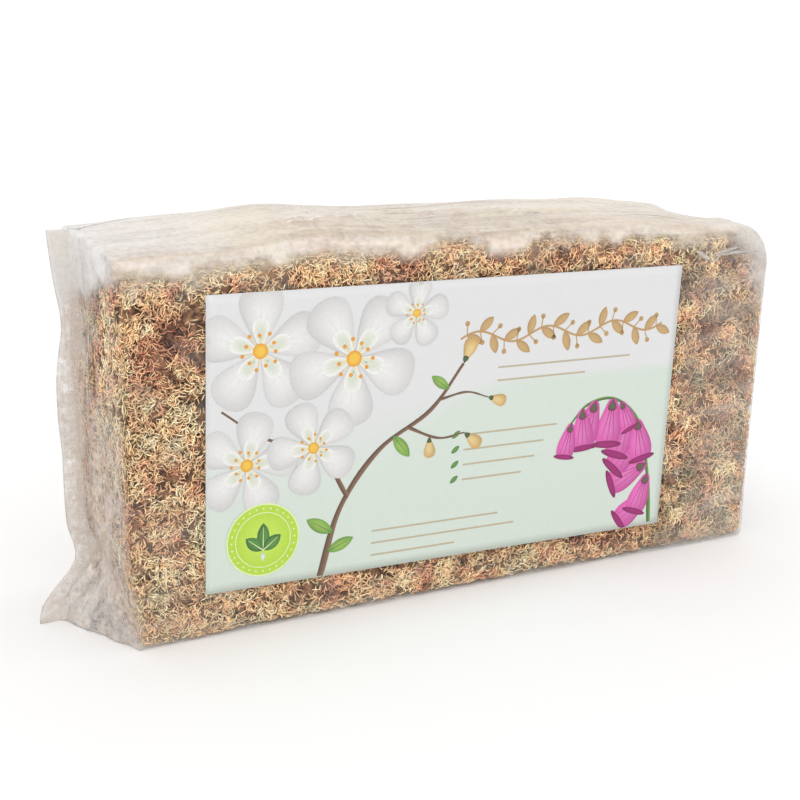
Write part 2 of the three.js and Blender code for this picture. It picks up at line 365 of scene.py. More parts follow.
def film_finish():
    """Thin clear film. haze says how milky it looks: least where it clings to the moss, most where
    it stands off it. warmth says how much of the moss's colour its milkiness takes on. A third value
    darkens it towards a dull brown, in specks: fine moss crumbs that cling inside it, and painted shade.
    Fine draw lines run along the bag."""
    nodes = Nodes("clear_film")
    clouds = nodes.noise(38, 4, 0.6, (0.55, 1.6, 1))
    streaks = nodes.noise(120, 3, 0.6, (0.16, 2.2, 1))
    crinkles = nodes.noise(420, 3, 0.6)
    dust_and_shade = nodes.value("dust_and_shade")
    haze = nodes.value("haze")
    crinkled = nodes.maths("ADD", dust_and_shade, 0.15, clamp=True)
    fine_mottle = nodes.maths("MULTIPLY", nodes.spread(crinkles, 0.3, 0.7, -0.36, 0.36), crinkled)
    mottle = nodes.maths("ADD", nodes.spread(clouds, 0.35, 0.65, 0.95, 1.08), fine_mottle)
    even = nodes.maths("MULTIPLY", haze, mottle)
    # Where milky film meets clear film, the border is broken up finely.
    between = nodes.maths("MULTIPLY", haze, nodes.maths("SUBTRACT", 1.0, haze))
    small = nodes.spread(crinkles, 0.35, 0.65, -0.26, 0.26)
    patchy = nodes.maths("ADD", small, nodes.spread(streaks, 0.35, 0.65, -0.5, 0.5))
    cover = nodes.maths("ADD", even, nodes.maths("MULTIPLY", between, patchy), clamp=True)
    milky = nodes.ramp(nodes.value("warmth"), [
        (0.0, (0.73, 0.715, 0.70)),
        (0.5, (0.715, 0.625, 0.52)),
        (0.75, (0.86, 0.79, 0.72)),
        (1.0, (0.93, 0.83, 0.70)),
    ])
    blotches = nodes.ramp(clouds, [(0.35, (0.97, 0.935, 0.92)), (0.5, (1, 1, 1)), (0.65, (1, 1, 0.95))])
    tint = nodes.mix(1.0, milky, blotches, "MULTIPLY")
    # Dull brown specks: fine moss crumbs and painted shade.
    dust_and_shade_specks = nodes.maths("MULTIPLY", dust_and_shade, nodes.spread(crinkles, 0.38, 0.62, 0.25, 1.0))
    return nodes.finish(
        nodes.mix(dust_and_shade_specks, tint, (0.64, 0.53, 0.44, 1)),
        nodes.spread(clouds, 0.35, 0.65, 0.20, 0.36),
        Alpha=nodes.maths("MINIMUM", cover, MOST_HAZE),
        Normal=nodes.bump(clouds, 0.002, 0.3, Normal=nodes.bump(streaks, 0.0009, 0.18)),
    )


def grained(nodes, colour, scale, darkest, roughness, **others):
    """Finishes a printed surface, with a fine grain in its colour and its roughness."""
    grain = nodes.noise(scale, 2)
    faint = nodes.ramp(grain, [(0.3, (darkest,) * 3), (0.7, (1, 1, 1))])
    shown = nodes.mix(1.0, colour, faint, "MULTIPLY")
    return nodes.finish(shown, nodes.spread(grain, 0.3, 0.7, *roughness), **others)


def paper_finish():
    """Satin label paper, printed pale grey above and mint green below."""
    nodes = Nodes("label_paper")
    printed = nodes.mix(nodes.value("field"), (0.668, 0.668, 0.668, 1), (0.594, 0.658, 0.591, 1))
    waves = nodes.bump(nodes.noise(60, 2), 0.0006, 0.35)
    return grained(nodes, printed, 900, 0.97, (0.36, 0.46), Normal=waves)


def ink_finish():
    """Printed ink, in the colour that each place of the print holds."""
    nodes = Nodes("label_ink")
    return grained(nodes, nodes.value("ink", "Color"), 700, 0.95, (0.34, 0.44))


# ---- the moss ----


def on_brick(points):
    """The nearest places on the round-edged moss brick, and the ways out of the moss there."""
    local = points - MOSS_MIDDLE
    # The left end's lower edges are less round than the others.
    filled = fall(local[:, :1], -125, -95) * fall(local[:, 2:], -45, -10)
    edge = MOSS_EDGE - 2.4 * filled
    inner = MOSS_HALF - edge
    held = np.clip(local, -inner, inner)
    out = local - held
    out /= np.linalg.norm(out, axis=1, keepdims=True)
    return held + out * edge + MOSS_MIDDLE, out


def settled(points):
    """The brick's top isn't level, so each place is raised or lowered in proportion."""
    moved = points.copy()
    top = top_edge(points[:, 0]) - sag(points[:, 0], points[:, 1])
    moved[:, 2] = GAP + (points[:, 2] - GAP) * (top - 2 * GAP) / (2 * MOSS_HALF[2])
    return leaning(moved)


def face_of_brick(name, normal, along, across, density, coarse=1.0, light=1.0):
    """One side of the brick, with its middle and half of its size along it and across."""
    normal, along, across = (np.array(way, float) for way in (normal, along, across))
    half_u, half_v = (abs(way @ MOSS_HALF) for way in (along, across))
    return SimpleNamespace(
        name=name, normal=normal, along=along, across=across, half_u=half_u, half_v=half_v,
        middle=MOSS_MIDDLE + normal * abs(normal @ MOSS_HALF), density=density, coarse=coarse, light=light,
    )


# density is in strands a square millimetre, coarse enlarges them, and light makes them lighter: painted
# light, set for each side.
FACES = [
    face_of_brick("front", (0, -1, 0), (1, 0, 0), (0, 0, 1), 1.25),
    face_of_brick("back", (0, 1, 0), (-1, 0, 0), (0, 0, 1), 0.48, 1.3, 1.12),
    face_of_brick("top", (0, 0, 1), (1, 0, 0), (0, 1, 0), 0.20, 1.2, 1.2),
    face_of_brick("foot", (0, 0, -1), (-1, 0, 0), (0, 1, 0), 0.05, 1.2),
    face_of_brick("left_end", (-1, 0, 0), (0, -1, 0), (0, 0, 1), 0.68, 1.1, 1.12),
    face_of_brick("right_end", (1, 0, 0), (0, 1, 0), (0, 0, 1), 0.46, 1.2),
]

# The strands come in a few kinds: short hooks that fill the depth, and curls and longer crimped
# branches that lie over them. Lengths and radii are in millimetres, bends in radians.
HOOK = SimpleNamespace(
    count=12, steps=2, length=(2.8, 4.6), radius=(0.36, 0.52), bend=(0.9, 2.2), crimp=0.0, arch=(0.2, 0.7)
)
CURL = SimpleNamespace(
    count=16, steps=3, length=(3.0, 5.2), radius=(0.30, 0.44), bend=(0.9, 3.2), crimp=0.3, arch=(0.4, 1.5)
)
CRIMP = SimpleNamespace(
    count=6, steps=4, length=(4.6, 7.4), radius=(0.28, 0.38), bend=(0.3, 2.0), crimp=0.9, arch=(0.4, 1.3)
)
# Each has this many sides, and loses this share of its width by its tip.
STRAND = SimpleNamespace(sides=3, loss=0.55)


def curled_strand(sort, draw):
    """One dried branch, lying along +X: a stem that rises, curls sideways and thins to its tip."""
    length = draw.uniform(*sort.length)
    radius = draw.uniform(*sort.radius)
    bend = draw.choice((-1, 1)) * draw.uniform(*sort.bend)
    crimp = draw.choice((-1, 1)) * sort.crimp
    arch = draw.uniform(*sort.arch)
    bm = bmesh.new()
    along = bm.verts.layers.float.new("along")
    upright = Matrix.Rotation(pi / 2, 4, "Y") @ Matrix.Rotation(draw.uniform(0, 2), 4, "Z")
    bmesh.ops.create_circle(bm, cap_ends=True, segments=STRAND.sides, radius=radius, matrix=upright)
    end = bm.faces[:]
    middle = Vector((0, 0, 0))
    heading = 0.0
    for step in range(1, sort.steps + 1):
        share = step / sort.steps
        grown = bmesh.ops.extrude_face_region(bm, geom=end)["geom"]
        if step > 1:
            bmesh.ops.delete(bm, geom=end, context="FACES_ONLY")
        end = only(BMFace, grown)
        ring = only(BMVert, grown)
        wanted = bend * share * draw.uniform(0.8, 1.2) + crimp * sin(2.4 * pi * share)
        turn = wanted - heading
        heading = wanted
        height = arch * sin(pi * (0.05 + 0.85 * share))
        way = Vector((cos(heading), sin(heading), 0)) * length / sort.steps
        ahead = Vector((middle.x, middle.y, 0)) + way + Vector((0, 0, height))
        thinner = (1 - STRAND.loss * share) / (1 - STRAND.loss * (share - 1 / sort.steps))
        turned = Matrix.Translation(ahead) @ Matrix.Rotation(turn, 4, "Z") @ Matrix.Scale(thinner, 4)
        bmesh.ops.transform(bm, matrix=turned @ Matrix.Translation(-middle), verts=ring)
        for vert in ring:
            vert[along] = share
        middle = ahead
    bmesh.ops.pointmerge(bm, verts=ring, merge_co=middle)
    bmesh.ops.recalc_face_normals(bm, faces=bm.faces)
    return mesh_from("strand", bm)


def label_place(x, z):
    """How far inside the label's outline a place on the front lies; below 0 it lies outside."""
    c, s = cos(LABEL.turn), sin(LABEL.turn)
    dx, dz = x - LABEL.x, z - LABEL.z
    u, v = dx * c - dz * s, dx * s + dz * c
    return min(LABEL.width / 2 - abs(u), LABEL.height / 2 - abs(v))


# Hollows in the front of the moss, which the strands leave open: place along, height and radius.
HOLLOWS = [
    (-115.5, 126, 5.5), (-117, 112, 3.5), (-137, 131, 2.2), (-121, 96, 2.5), (-119, 66, 3.0),
    (58, 139, 3.5), (24, 138.5, 2.5), (121, 93, 4.5), (131, 84, 3.5), (117, 68, 3.5), (-66, 12, 2.5),
    (-126, 38, 3.2), (12, 7, 2.2), (128, 117, 2.6), (-30, 141, 2.4),
]


# Patches of older, rust-coloured moss in the front: place along, height and radius.
RUST_PATCHES = [
    (-126.6, 136, 6), (-137, 115, 5), (-123, 117, 7), (-137, 103, 6), (-131, 90, 8), (-126, 127, 4),
    (-110, 10, 7), (-60, 8, 9), (-20, 10, 8), (-30, 141, 9), (40, 141, 7), (85, 137, 6), (8, 139, 5),
    (118, 104, 6), (126, 60, 9), (120, 34, 6), (70, 8, 9),
]


# This share of the usual strands lies in a hollow, and under the label from its margin inwards.
COVER = SimpleNamespace(under_label=0.04, label_margin=5, hollow=0.12)

# The strands lie in tufts. This share of the tufts are star-shaped heads, and this share of the
# strands stray. They start at top under the surface or up to deepest further down, and the ones that
# are no further than loose under top make up the loose pieces.
TUFT = SimpleNamespace(spacing=8, heads=0.6, strays=0.4, top=1.2, deepest=2.9, loose=0.8)

# What the upper edge of the strands' layout by colour stands for, and the size of the core's facets.
LIGHTEST = 1.35
CORE_STEP = 3.2


def strand_chance(face, u, v):
    """How much of the usual cover of strands a place on a face gets."""
    if face.name != "front":
        return 1.0
    x, z = u, v + MOSS_MIDDLE[2]
    if label_place(x, z) > COVER.label_margin:
        return COVER.under_label
    for hollow_x, hollow_z, radius in HOLLOWS:
        if hypot(x - hollow_x, z - hollow_z) < radius:
            return COVER.hollow
    return 1.0


def moss_hue(face, u, v):
    """The patches of colour in the moss: rust and plum in some places, straw and cream in most. The front's
    upper edge and the top are painted creamier, painted light.
    """
    place = face.middle + face.along * u + face.across * v
    hue = 0.57 + 0.28 * wobble(*(place / 16)) + 0.42 * wobble(*(place / 5.5 + (31, 7, 3)))
    if face.name == "front":
        for rust_x, rust_z, radius in RUST_PATCHES:
            near = hypot(u - rust_x, v + MOSS_MIDDLE[2] - rust_z) / radius
            hue -= 0.30 * max(0, 1 - near * near)
        # Creamier along the front's upper edge and over the top: painted light.
        hue += 0.16 * rise(v, face.half_v - 9, face.half_v)
    if face.name == "top":
        hue += 0.16
    return hue


def front_tone_and_painted_light(face, u, v, scatter):
    """How light a strand on the front is: its own tone, with painted light and shade. Towards the right
    the strands differ less, and dark and light patches, painted shade in hollows and painted light on tufts,
    more. The upper edge is the lightest, painted light."""
    right = rise(u, 60, 105)
    # Dark and light patches: painted shade in hollows between tufts, and painted light on the tufts.
    patch = wobble(u / 8 + 3, v / 8 + 5, 40) + wobble(u / 15 + 9, v / 15 + 2, 60)
    light = 1 + (0.04 + 0.60 * right) * patch - 0.04 * right
    # The upper edge is painted lighter: painted light.
    light *= 1.05 + 0.18 * rise(v, face.half_v - 16, face.half_v - 4)
    light *= 1.0 + (0.07 - 0.12 * right) * fall(v, -45, 0)
    return light * lerp(scatter, 0.97, 0.45 * right)


def strand_foot(draw, u, v, starry, main_way):
    """Where a strand of the tuft at u, v starts, and its angle. Some stray, and the others point out
    of the middle of a head or follow their lock."""
    if draw.random() < TUFT.strays:
        angle = draw.uniform(0, 2 * pi)
        return u + draw.uniform(-6, 6), v + draw.uniform(-6, 6), angle
    if starry:
        angle = draw.uniform(0, 2 * pi)
        return *polar((u, v), angle, draw.uniform(0, 3)), angle
    angle = main_way + draw.gauss(0, 0.35)
    foot_u = u + draw.uniform(-4, 4) - 2 * cos(main_way)
    foot_v = v + draw.uniform(-4, 4) - 2 * sin(main_way)
    return foot_u, foot_v, angle


def tufts(face, draw):
    """Where the strands of one face lie: in heads and locks, with strays among them."""
    per_tuft = face.density * TUFT.spacing ** 2
    columns, rows = (round(2 * half / TUFT.spacing) for half in (face.half_u, face.half_v))
    strands = []
    for column in range(columns):
        for row in range(rows):
            tuft_u = ((column + 0.5 + draw.uniform(-0.4, 0.4)) / columns - 0.5) * 2 * face.half_u
            tuft_v = ((row + 0.5 + draw.uniform(-0.4, 0.4)) / rows - 0.5) * 2 * face.half_v
            starry = draw.random() < TUFT.heads
            main_way = draw.uniform(0, 2 * pi)
            tuft_hue = draw.gauss(0, 0.10)
            tuft_light = draw.uniform(0.86, 1.12)
            for _ in range(round(per_tuft * draw.uniform(0.75, 1.25))):
                u, v, angle = strand_foot(draw, tuft_u, tuft_v, starry, main_way)
                sink = TUFT.deepest * draw.random() ** 1.5
                hue = moss_hue(face, u, v) + tuft_hue + draw.gauss(0, 0.08)
                light = draw.uniform(0.68, 1.26)
                if face.name == "front":
                    light = front_tone_and_painted_light(face, u, v, light)
                # Each side's light is painted light, and deeper strands are painted darker: painted shade
                # under the strands above them.
                light *= face.light * tuft_light * (1.19 - 0.15 * sink)
                if draw.random() > strand_chance(face, u, v):
                    continue
                strands.append(SimpleNamespace(
                    u=u, v=v, angle=angle, sink=sink, hue=clamp(hue), light=light,
                    tilt=draw.uniform(-0.14, 0.10), pick=draw.random(),
                ))
    return strands


def carpet(name, face, strands, kinds, material):
    """One piece of the moss: these strands, laid flat and then wrapped on to the brick."""
    bm = bmesh.new()
    counts = []
    for strand in strands:
        copy = kinds[int(strand.pick * len(kinds))].copy()
        lie = Matrix.Rotation(strand.angle, 4, "Z") @ Matrix.Rotation(strand.tilt, 4, "Y")
        start = Matrix.Translation((strand.u, strand.v, -TUFT.top - strand.sink))
        copy.transform(start @ lie @ Matrix.Scale(face.coarse, 4))
        bm.from_mesh(copy)
        counts.append(len(copy.vertices))
        bpy.data.meshes.remove(copy)
    mesh = mesh_from(name, bm)
    flat = coordinates(mesh)
    at, out = on_brick(face.middle + flat[:, :1] * face.along + flat[:, 1:2] * face.across)
    write_coordinates(mesh, settled(at + out * np.minimum(flat[:, 2:3], 0)))
    along = np.empty(len(mesh.vertices), np.float32)
    mesh.attributes["along"].data.foreach_get("value", along)
    hue = np.repeat([strand.hue for strand in strands], counts) + 0.06 * along
    light = np.repeat([strand.light for strand in strands], counts) * (0.76 + 0.38 * along)
    hue, light = np.clip(hue, 0.01, 0.99), np.clip(light, 0.2, 1.3)
    write_values(mesh, "hue", hue)
    write_values(mesh, "light", light)
    spread_by_colour(mesh, hue, light)
    mesh.attributes.remove(mesh.attributes["along"])
    piece(name, mesh, material, "moss_brick")


def spread_by_colour(mesh, hue, light):
    """Lays the strands out by colour, so that strands of one colour share one place on a texture."""
    corner = np.empty(len(mesh.loops), np.int32)
    mesh.loops.foreach_get("vertex_index", corner)
    layout = mesh.uv_layers.new(name="OFBake")
    spots = np.stack([hue[corner], light[corner] / LIGHTEST], axis=1)
    layout.uv.foreach_set("vector", spots.astype(np.float32).ravel())


def moss_core(material):
    """The pressed mass under the strands, lumpy from the moss heads in it."""
    bm = bmesh.new()
    bmesh.ops.create_cube(bm, size=2)
    for axis in range(3):
        half = MOSS_HALF[axis] - MOSS_EDGE
        cuts = round(2 * MOSS_HALF[axis] / CORE_STEP)
        for cut in range(cuts + 1):
            at, way = Vector((0, 0, 0)), Vector((0, 0, 0))
            at[axis] = lerp(-half, half, cut / cuts) / MOSS_HALF[axis]
            way[axis] = 1
            everything = bm.verts[:] + bm.edges[:] + bm.faces[:]
            bmesh.ops.bisect_plane(bm, geom=everything, plane_co=at, plane_no=way)
    mesh = mesh_from("moss_core", bm)
    at, out = on_brick(coordinates(mesh) * MOSS_HALF + MOSS_MIDDLE)
    sunk = [-3.3 + wobble(*(place / 7)) + 0.6 * wobble(*(place / 2.6)) for place in at]
    write_coordinates(mesh, settled(at + out * np.array(sunk)[:, None]))
    top = MOSS_MIDDLE[2] + MOSS_HALF[2]
    # pale rises near the top of the brick: painted light.
    write_values(mesh, "pale", 0.85 * rise(at[:, 2], top - 12, top - 2))
    piece("moss_core", mesh, material, "moss_brick")


def moss():
    draw = random.Random(11)
    moss_core(moss_core_finish())
    hooks, curls, crimps = (
        [curled_strand(sort, draw) for _ in range(sort.count)] for sort in (HOOK, CURL, CRIMP)
    )
    strand_finish = moss_strand_finish()
    for face in FACES:
        strands = tufts(face, draw)
        deep = [strand for strand in strands if strand.sink > TUFT.loose]
        loose = [strand for strand in strands if strand.sink <= TUFT.loose]
        carpet(f"moss_{face.name}_deep", face, deep, hooks, strand_finish)
        carpet(f"moss_{face.name}_loose", face, loose, curls + crimps, strand_finish)
    for kind in hooks + curls + crimps:
        bpy.data.meshes.remove(kind)


# ---- the film bag ----

# How finely the film is made: the steps round one ring, and the rings along it, where station is the
# distance between two of them over the brick.
RING = SimpleNamespace(foot=10, upright=44, corner=4, top=14)
RINGS = SimpleNamespace(ribs=5, roof=14, station=2.4, edge=4, cap=14)

# The film's sharp creases: the width of each, and places along it. They are laid on the nearest film,
# and are painted at least this milky, and paler than it, as glints.
CREASE_GLINT_HAZE = 0.42
CREASES = [
    # crossed ones at the front's upper right corner
    (2.5, (103.5, -39, 137), (108, -39, 134.4), (113, -39, 131.2)),
    (2.1, (112.8, -39, 134.3), (120, -39, 135.5), (129, -39, 137.2)),
    (1.7, (112.5, -39, 133.4), (124, -39, 134.4), (138, -39, 134.2)),
    (1.7, (113, -39, 131.2), (115.2, -39, 131.9), (117.5, -39, 134)),
    # upright ones on the left end
    (1.1, (-147, -33, 132), (-148, -29, 110), (-147.5, -31, 90)),
    (1.0, (-149.5, -10, 150), (-149.8, -8, 112), (-149.5, -11, 78)),
    (1.0, (-149.4, 12, 148), (-149.7, 14, 110), (-149.4, 10, 70)),
    (1.2, (-146, 36, 8), (-150, 24, 16), (-160, 8, 21)),
    # from the left end's upper corner over the top
    (0.9, (-153, 5, 155), (-138, 16, 154), (-118, 28, 151)),
    # long ones along the top
    (0.5, (-40, 10, 156), (0, 14, 153), (46, 11, 153)),
    (0.5, (62, -24, 152), (90, -21, 150), (113, -26, 147)),
    # from the corners of the right end to its weld
    (1.3, (146, -34, 138), (146.3, -19, 124), (146.3, -2, 112)),
    (1.3, (146, 34, 138), (146.3, 22, 124), (146.3, 11, 112)),
    (1.2, (146, -34, 6), (146.3, -20, 14), (146.3, -3, 22)),
    (1.2, (146, 34, 6), (146.3, 24, 13), (146.3, 12, 20)),
    (1.1, (146, -24, 100), (146.3, -20, 70), (146.3, -25, 40)),
    # from the back's upper corners
    (1.8, (134, 39, 137), (120, 39, 133.5), (106, 39, 132)),
    (1.4, (118, 39, 134.5), (108, 39, 136.5), (96, 39, 139)),
    (1.4, (-134, 39, 138), (-120, 39, 130), (-111, 39, 118)),
]


def half_section(half, top):
    """The front half of a cross-section, as (y, z) pairs from the middle of its foot, up the front,
    to the middle of its top."""
    edge = min(BAG.top_edge, half)
    foot = min(BAG.foot_edge, half)
    turns = [k / RING.corner * pi / 2 for k in range(RING.corner)]
    places = [(lerp(0, foot - half, k / RING.foot), 0.0) for k in range(RING.foot)]
    places += [(foot - half - foot * sin(turn), foot - foot * cos(turn)) for turn in turns]
    places += [(-half, lerp(foot, top - edge, k / RING.upright)) for k in range(RING.upright)]
    places += [(edge - half - edge * cos(turn), top - edge + edge * sin(turn)) for turn in turns]
    places += [(lerp(edge - half, 0, k / RING.top), top) for k in range(RING.top + 1)]
    return places


def slack(x, across):
    """How far the film over the top of the brick is slack, with a few folds in it."""
    bow = sqrt(max(0, 1 - across * across))
    folds = 0.08 * sin(x / 17 + 3 * across) + 0.05 * sin(x / 8.3 - 5 * across)
    return crown(x) * bow * (1 + folds)


def bag_ring(half, lift, x_at, slack_x):
    """One closed ring of the film, as points. x_at gives the place along the bag for a height."""
    top = top_edge(slack_x) + lift
    front = half_section(half, top)
    ring = front + [(-y, z) for y, z in front[-2:0:-1]]
    fullness = half / BAG.half_depth
    points = []
    for y, z in ring:
        on_top = rise(z, top - BAG.top_edge - 3, top)
        z += on_top * fullness * slack(slack_x, clamp(y / max(half, 1e-6), -1))
        z -= on_top * sag(slack_x, y)
        points.append((x_at(z), y, z))
    return leaning(np.array(points))


def bag_rings():
    """Every ring of the film, from the tip of the weld to the closed right end."""
    end = -BAG.half_length
    weld = SEAL.thickness / 2
    rings = []
    for rib in range(2 * RINGS.ribs + 1):
        share = rib / (2 * RINGS.ribs)
        half = 0.0 if rib == 0 else weld * (1 if rib % 2 == 0 else 0.65)
        reach = lambda z: end - seal_reach(z) + share * SEAL.width
        rings.append(bag_ring(half, SEAL.ear_lift, reach, end))
    for step in range(1, RINGS.roof):
        share = step / RINGS.roof
        half = lerp(weld, BAG.half_depth, share)
        reach = lambda z: end - (seal_reach(z) - SEAL.width) * (1 - share)
        rings.append(bag_ring(half, SEAL.ear_lift * (1 - share), reach, end))
    straight = BAG.half_length - BAG.end_edge
    steps = round((straight - end) / RINGS.station)
    stations = [(lerp(end, straight, step / steps), 0) for step in range(steps + 1)]
    turns = [step / RINGS.edge * pi / 2 for step in range(1, RINGS.edge + 1)]
    stations += [(straight + BAG.end_edge * sin(turn), BAG.end_edge * (1 - cos(turn))) for turn in turns]
    for x, pulled_in in stations:
        rings.append(bag_ring(BAG.half_depth - pulled_in, 0, lambda z: x, x))
    last = rings[-1]
    for step in range(1, RINGS.cap + 1):
        share = step / RINGS.cap
        inner = last.copy()
        inner[:, 1] *= 1 - share
        inner[:, 2] = lerp(last[:, 2].mean(), last[:, 2], 1 - 0.42 * share)
        rings.append(inner)
    return rings


def crumple(place, normal):
    """How far the film stands out of its smooth shape: long folds over the top, upright ones at the
    left end, and small dents elsewhere. It dents inwards only as far as the moss lets it."""
    x, y, z = place
    over = max(normal.z, 0) ** 2
    endways = min(abs(normal.x) * 1.4, 1)
    folds = 0.8 * wobble(x / 55, y / 7.5, 3) + 0.18 * wobble(x / 30, y / 3.2, 9)
    upright = 1.2 * wobble(x / 9, y / 5, z / 46) + 0.4 * wobble(x / 4, y / 2.5, z / 15)
    upright *= 1 - 0.8 * rise(z, 112, 136)
    small = 0.08 * wobble(x / 13, y / 13, z / 13)
    room = 0.2 + 0.5 * crown(x) * over + 2 * fall(x + BAG.half_length, -4, 0)
    return max(folds * over + upright * endways * (1 - over) + small, -room)


def milkiness_at(place, normal):
    """How milky the film looks at a place, how much of the moss's colour it takes on, and how much it
    is darkened by fine moss crumbs inside it and by painted shade."""
    x, y, z = place
    broad = wobble(x / 60, y / 32, z / 22 + 2)
    wide = wobble(x / 14, y / 14, z / 14 + 5)
    small = wobble(x / 5, y / 5, z / 5 + 8)
    ragged = 2.5 * wide + 1.5 * small
    x -= lean(x, z)
    to_right = rise(x, 85, 103)
    front = rise(-normal.y, 0.3, 0.8)
    back = rise(normal.y, 0.3, 0.8)
    # Over the brick the film stands off the moss, and a little of that reaches down its long sides.
    # It is a little clearer along its front edge, and in blotches over its middle.
    behind_edge = y + BAG.half_depth + ragged * (1 - 0.6 * to_right) + 3 * to_right
    over = rise(normal.z, 0.35, 0.75)
    over *= lerp(0.64 + 0.08 * to_right, 0.86, rise(behind_edge, -1, 7))
    middle = rise(x, -105, -60) * fall(x, 20, 70)
    over *= 1 - middle * (0.11 + 0.15 * rise(0.6 * wide + small, -0.1, 0.45))
    reach = 7.5 + 3 * fall(x, -125, -85) + 3 * to_right
    creep = fall(top_edge(x) - z + 2.2 * ragged * (1 - 0.7 * to_right), -2, reach)
    creep *= (0.72 + 0.04 * to_right) * front + 0.62 * back
    # At the left end it hangs clear of the moss, apart from the upper front.
    end = fall(x + BAG.half_length, -1.5, 2.5)
    clear = rise(z + 2 * ragged, 80, 98) * fall(y + ragged, -15, 0)
    low_end = fall(z + ragged, 40, 75)
    upper = rise(z + ragged - (9 + 5 * rise(-y, 18, 31)) * clear, 122, 132)
    welded = rise(-x - BAG.half_length - seal_reach(z) + SEAL.width, -1.5, 0.5)
    left = end * (0.42 - 0.30 * clear + 0.16 * low_end + 0.18 * wide + 0.12 * small)
    left = max(left, end * 0.88 * upper, welded * (0.50 + 0.12 * wide))
    # At the right end the front is a little milky all over, and more at the upper corner and the rim.
    soft_end = rise(x, 92, 125) * front
    corner = rise(x + 0.6 * z + 2 * ragged, 196, 218)
    rim = rise(x - BAG.half_length + BAG.end_edge, -1, 3.5)
    cap = rise(normal.x, 0.85, 1)
    right = max(rim * lerp(0.36, 0.20 + 0.16 * wide + 0.12 * small, cap), corner * lerp(0.76, 0.62, cap))
    # Elsewhere it clings to the moss, with faint blotches.
    low = front * fall(z + ragged, 6, 16)
    low_left = front * fall(x + ragged, -135, -100) * fall(z + 2 * ragged, 30, 80)
    vent_rim = back * fall(abs(hypot(x - VENT.x, z - VENT.z) - VENT.radius), 0.4, 1.8)
    blotches = 0.07 * rise(wide, 0.05, 0.35) * front + 0.17 * rise(broad + 0.2 * small, -0.1, 0.5) * back
    base = 0.02 + 0.19 * soft_end + 0.07 * low + 0.08 * low_left + 0.05 * back + blotches
    haze = max(base, over, creep, left, right, 0.5 * vent_rim)
    warmth = max(
        (0.18 + 0.42 * rise(x, -130, -75)) * over, 1.25 * creep * (1 - 0.18 * fall(x, -120, -40)),
        0.35 * front, 0.3 * back, 0.5 * low, 0.5 * low_left,
    )
    warmth *= (1 - 0.5 * corner) * (1 - 0.8 * end) * (1 - 0.3 * to_right * front)
    # The left end below its upper part, its welded edge and the low left front are darkened: fine moss crumbs
    # inside the film, and painted shade.
    dust_and_shade = max(end * (1 - upper) * (0.70 - 0.5 * clear), 0.45 * welded * (1 - upper), 0.2 * low_left)
    return clamp(haze, 0.0, MOST_HAZE), min(warmth, 1.0), min(dust_and_shade, 1.0)


def film_bag(material):
    """The film itself. It gives back its surface, for the creases to lie on."""
    rings = bag_rings()
    bm = bmesh.new()
    order = bm.verts.layers.int.new("order")
    ring = bmesh.ops.create_circle(bm, segments=len(rings[0]), radius=1)["verts"]
    for index, vert in enumerate(ring):
        vert[order] = index
    edges = bm.edges[:]
    for index, points in enumerate(rings):
        if index:
            grown = bmesh.ops.extrude_edge_only(bm, edges=edges)["geom"]
            ring = only(BMVert, grown)
            fresh = set(ring)
            edges = [edge for edge in only(BMEdge, grown) if fresh.issuperset(edge.verts)]
        for vert in ring:
            vert.co = points[vert[order]]
    bmesh.ops.remove_doubles(bm, verts=bm.verts, dist=1e-4)
    bmesh.ops.recalc_face_normals(bm, faces=bm.faces)
    punch_vent(bm)
    bm.normal_update()
    milkiness = [milkiness_at(vert.co, vert.normal) for vert in bm.verts]
    moves = [vert.normal * crumple(vert.co, vert.normal) for vert in bm.verts]
    for vert, move in zip(bm.verts, moves):
        vert.co += move
        vert.co.z = max(vert.co.z, 0.0)
    surface = BVHTree.FromBMesh(bm)
    mesh = mesh_from("film_bag_skin", bm)
    write_milkiness(mesh, milkiness)
    mesh.attributes.remove(mesh.attributes["order"])
    piece("film_bag_skin", mesh, material, "film_bag")
    return surface


def write_milkiness(mesh, milkiness):
    for name, values in zip(("haze", "warmth", "dust_and_shade"), zip(*milkiness)):
        write_values(mesh, name, values)


def punch_vent(bm):
    """The small round air hole in the back of the bag."""
    middle = Vector((VENT.x, BAG.half_depth, VENT.z))
    near = {vert for vert in bm.verts if (vert.co - middle).length < 3 * VENT.radius}
    around = [edge for edge in bm.edges if near.issuperset(edge.verts)]
    bmesh.ops.subdivide_edges(bm, edges=around, cuts=2, use_grid_fill=True)
    cut = [face for face in bm.faces if (face.calc_center_median() - middle).length < VENT.radius]
    cut_verts = {vert for face in cut for vert in face.verts}
    bmesh.ops.delete(bm, geom=cut, context="FACES")
    for vert in cut_verts:
        if vert.is_valid:
            out = vert.co - middle
            out.y = 0
            vert.co = middle + out.normalized() * VENT.radius


def film_creases(surface, material):
    """Sharp creases, as slender ridges that lie on the film, painted a little milkier and paler than it is as
    glints.
    """
    bm = bmesh.new()
    milkiness = []
    for width, *points in CREASES:
        path = curve(*points)
        for vert in bmesh.ops.create_uvsphere(bm, u_segments=4, v_segments=14, radius=1)["verts"]:
            share = 1 - acos(clamp(vert.co.z, -1)) / pi
            here, out, _, _ = surface.find_nearest(path(share))
            ahead = path(min(share + 0.02, 1)) - path(max(share - 0.02, 0))
            side = ahead.cross(out).normalized()
            vert.co = here + side * vert.co.x * width / 2 + out * (0.08 + vert.co.y * width * 0.14)
            vert.co.z = max(vert.co.z, 0.0)
            haze, warmth, _ = milkiness_at(here, out)
            # Milkier and less warm than the film around: painted glints.
            milkiness.append((max(CREASE_GLINT_HAZE, haze), 0.45 * warmth, 0.0))
    bmesh.ops.recalc_face_normals(bm, faces=bm.faces)
    mesh = mesh_from("film_creases", bm)
    write_milkiness(mesh, milkiness)
    piece("film_creases", mesh, material, "film_bag")


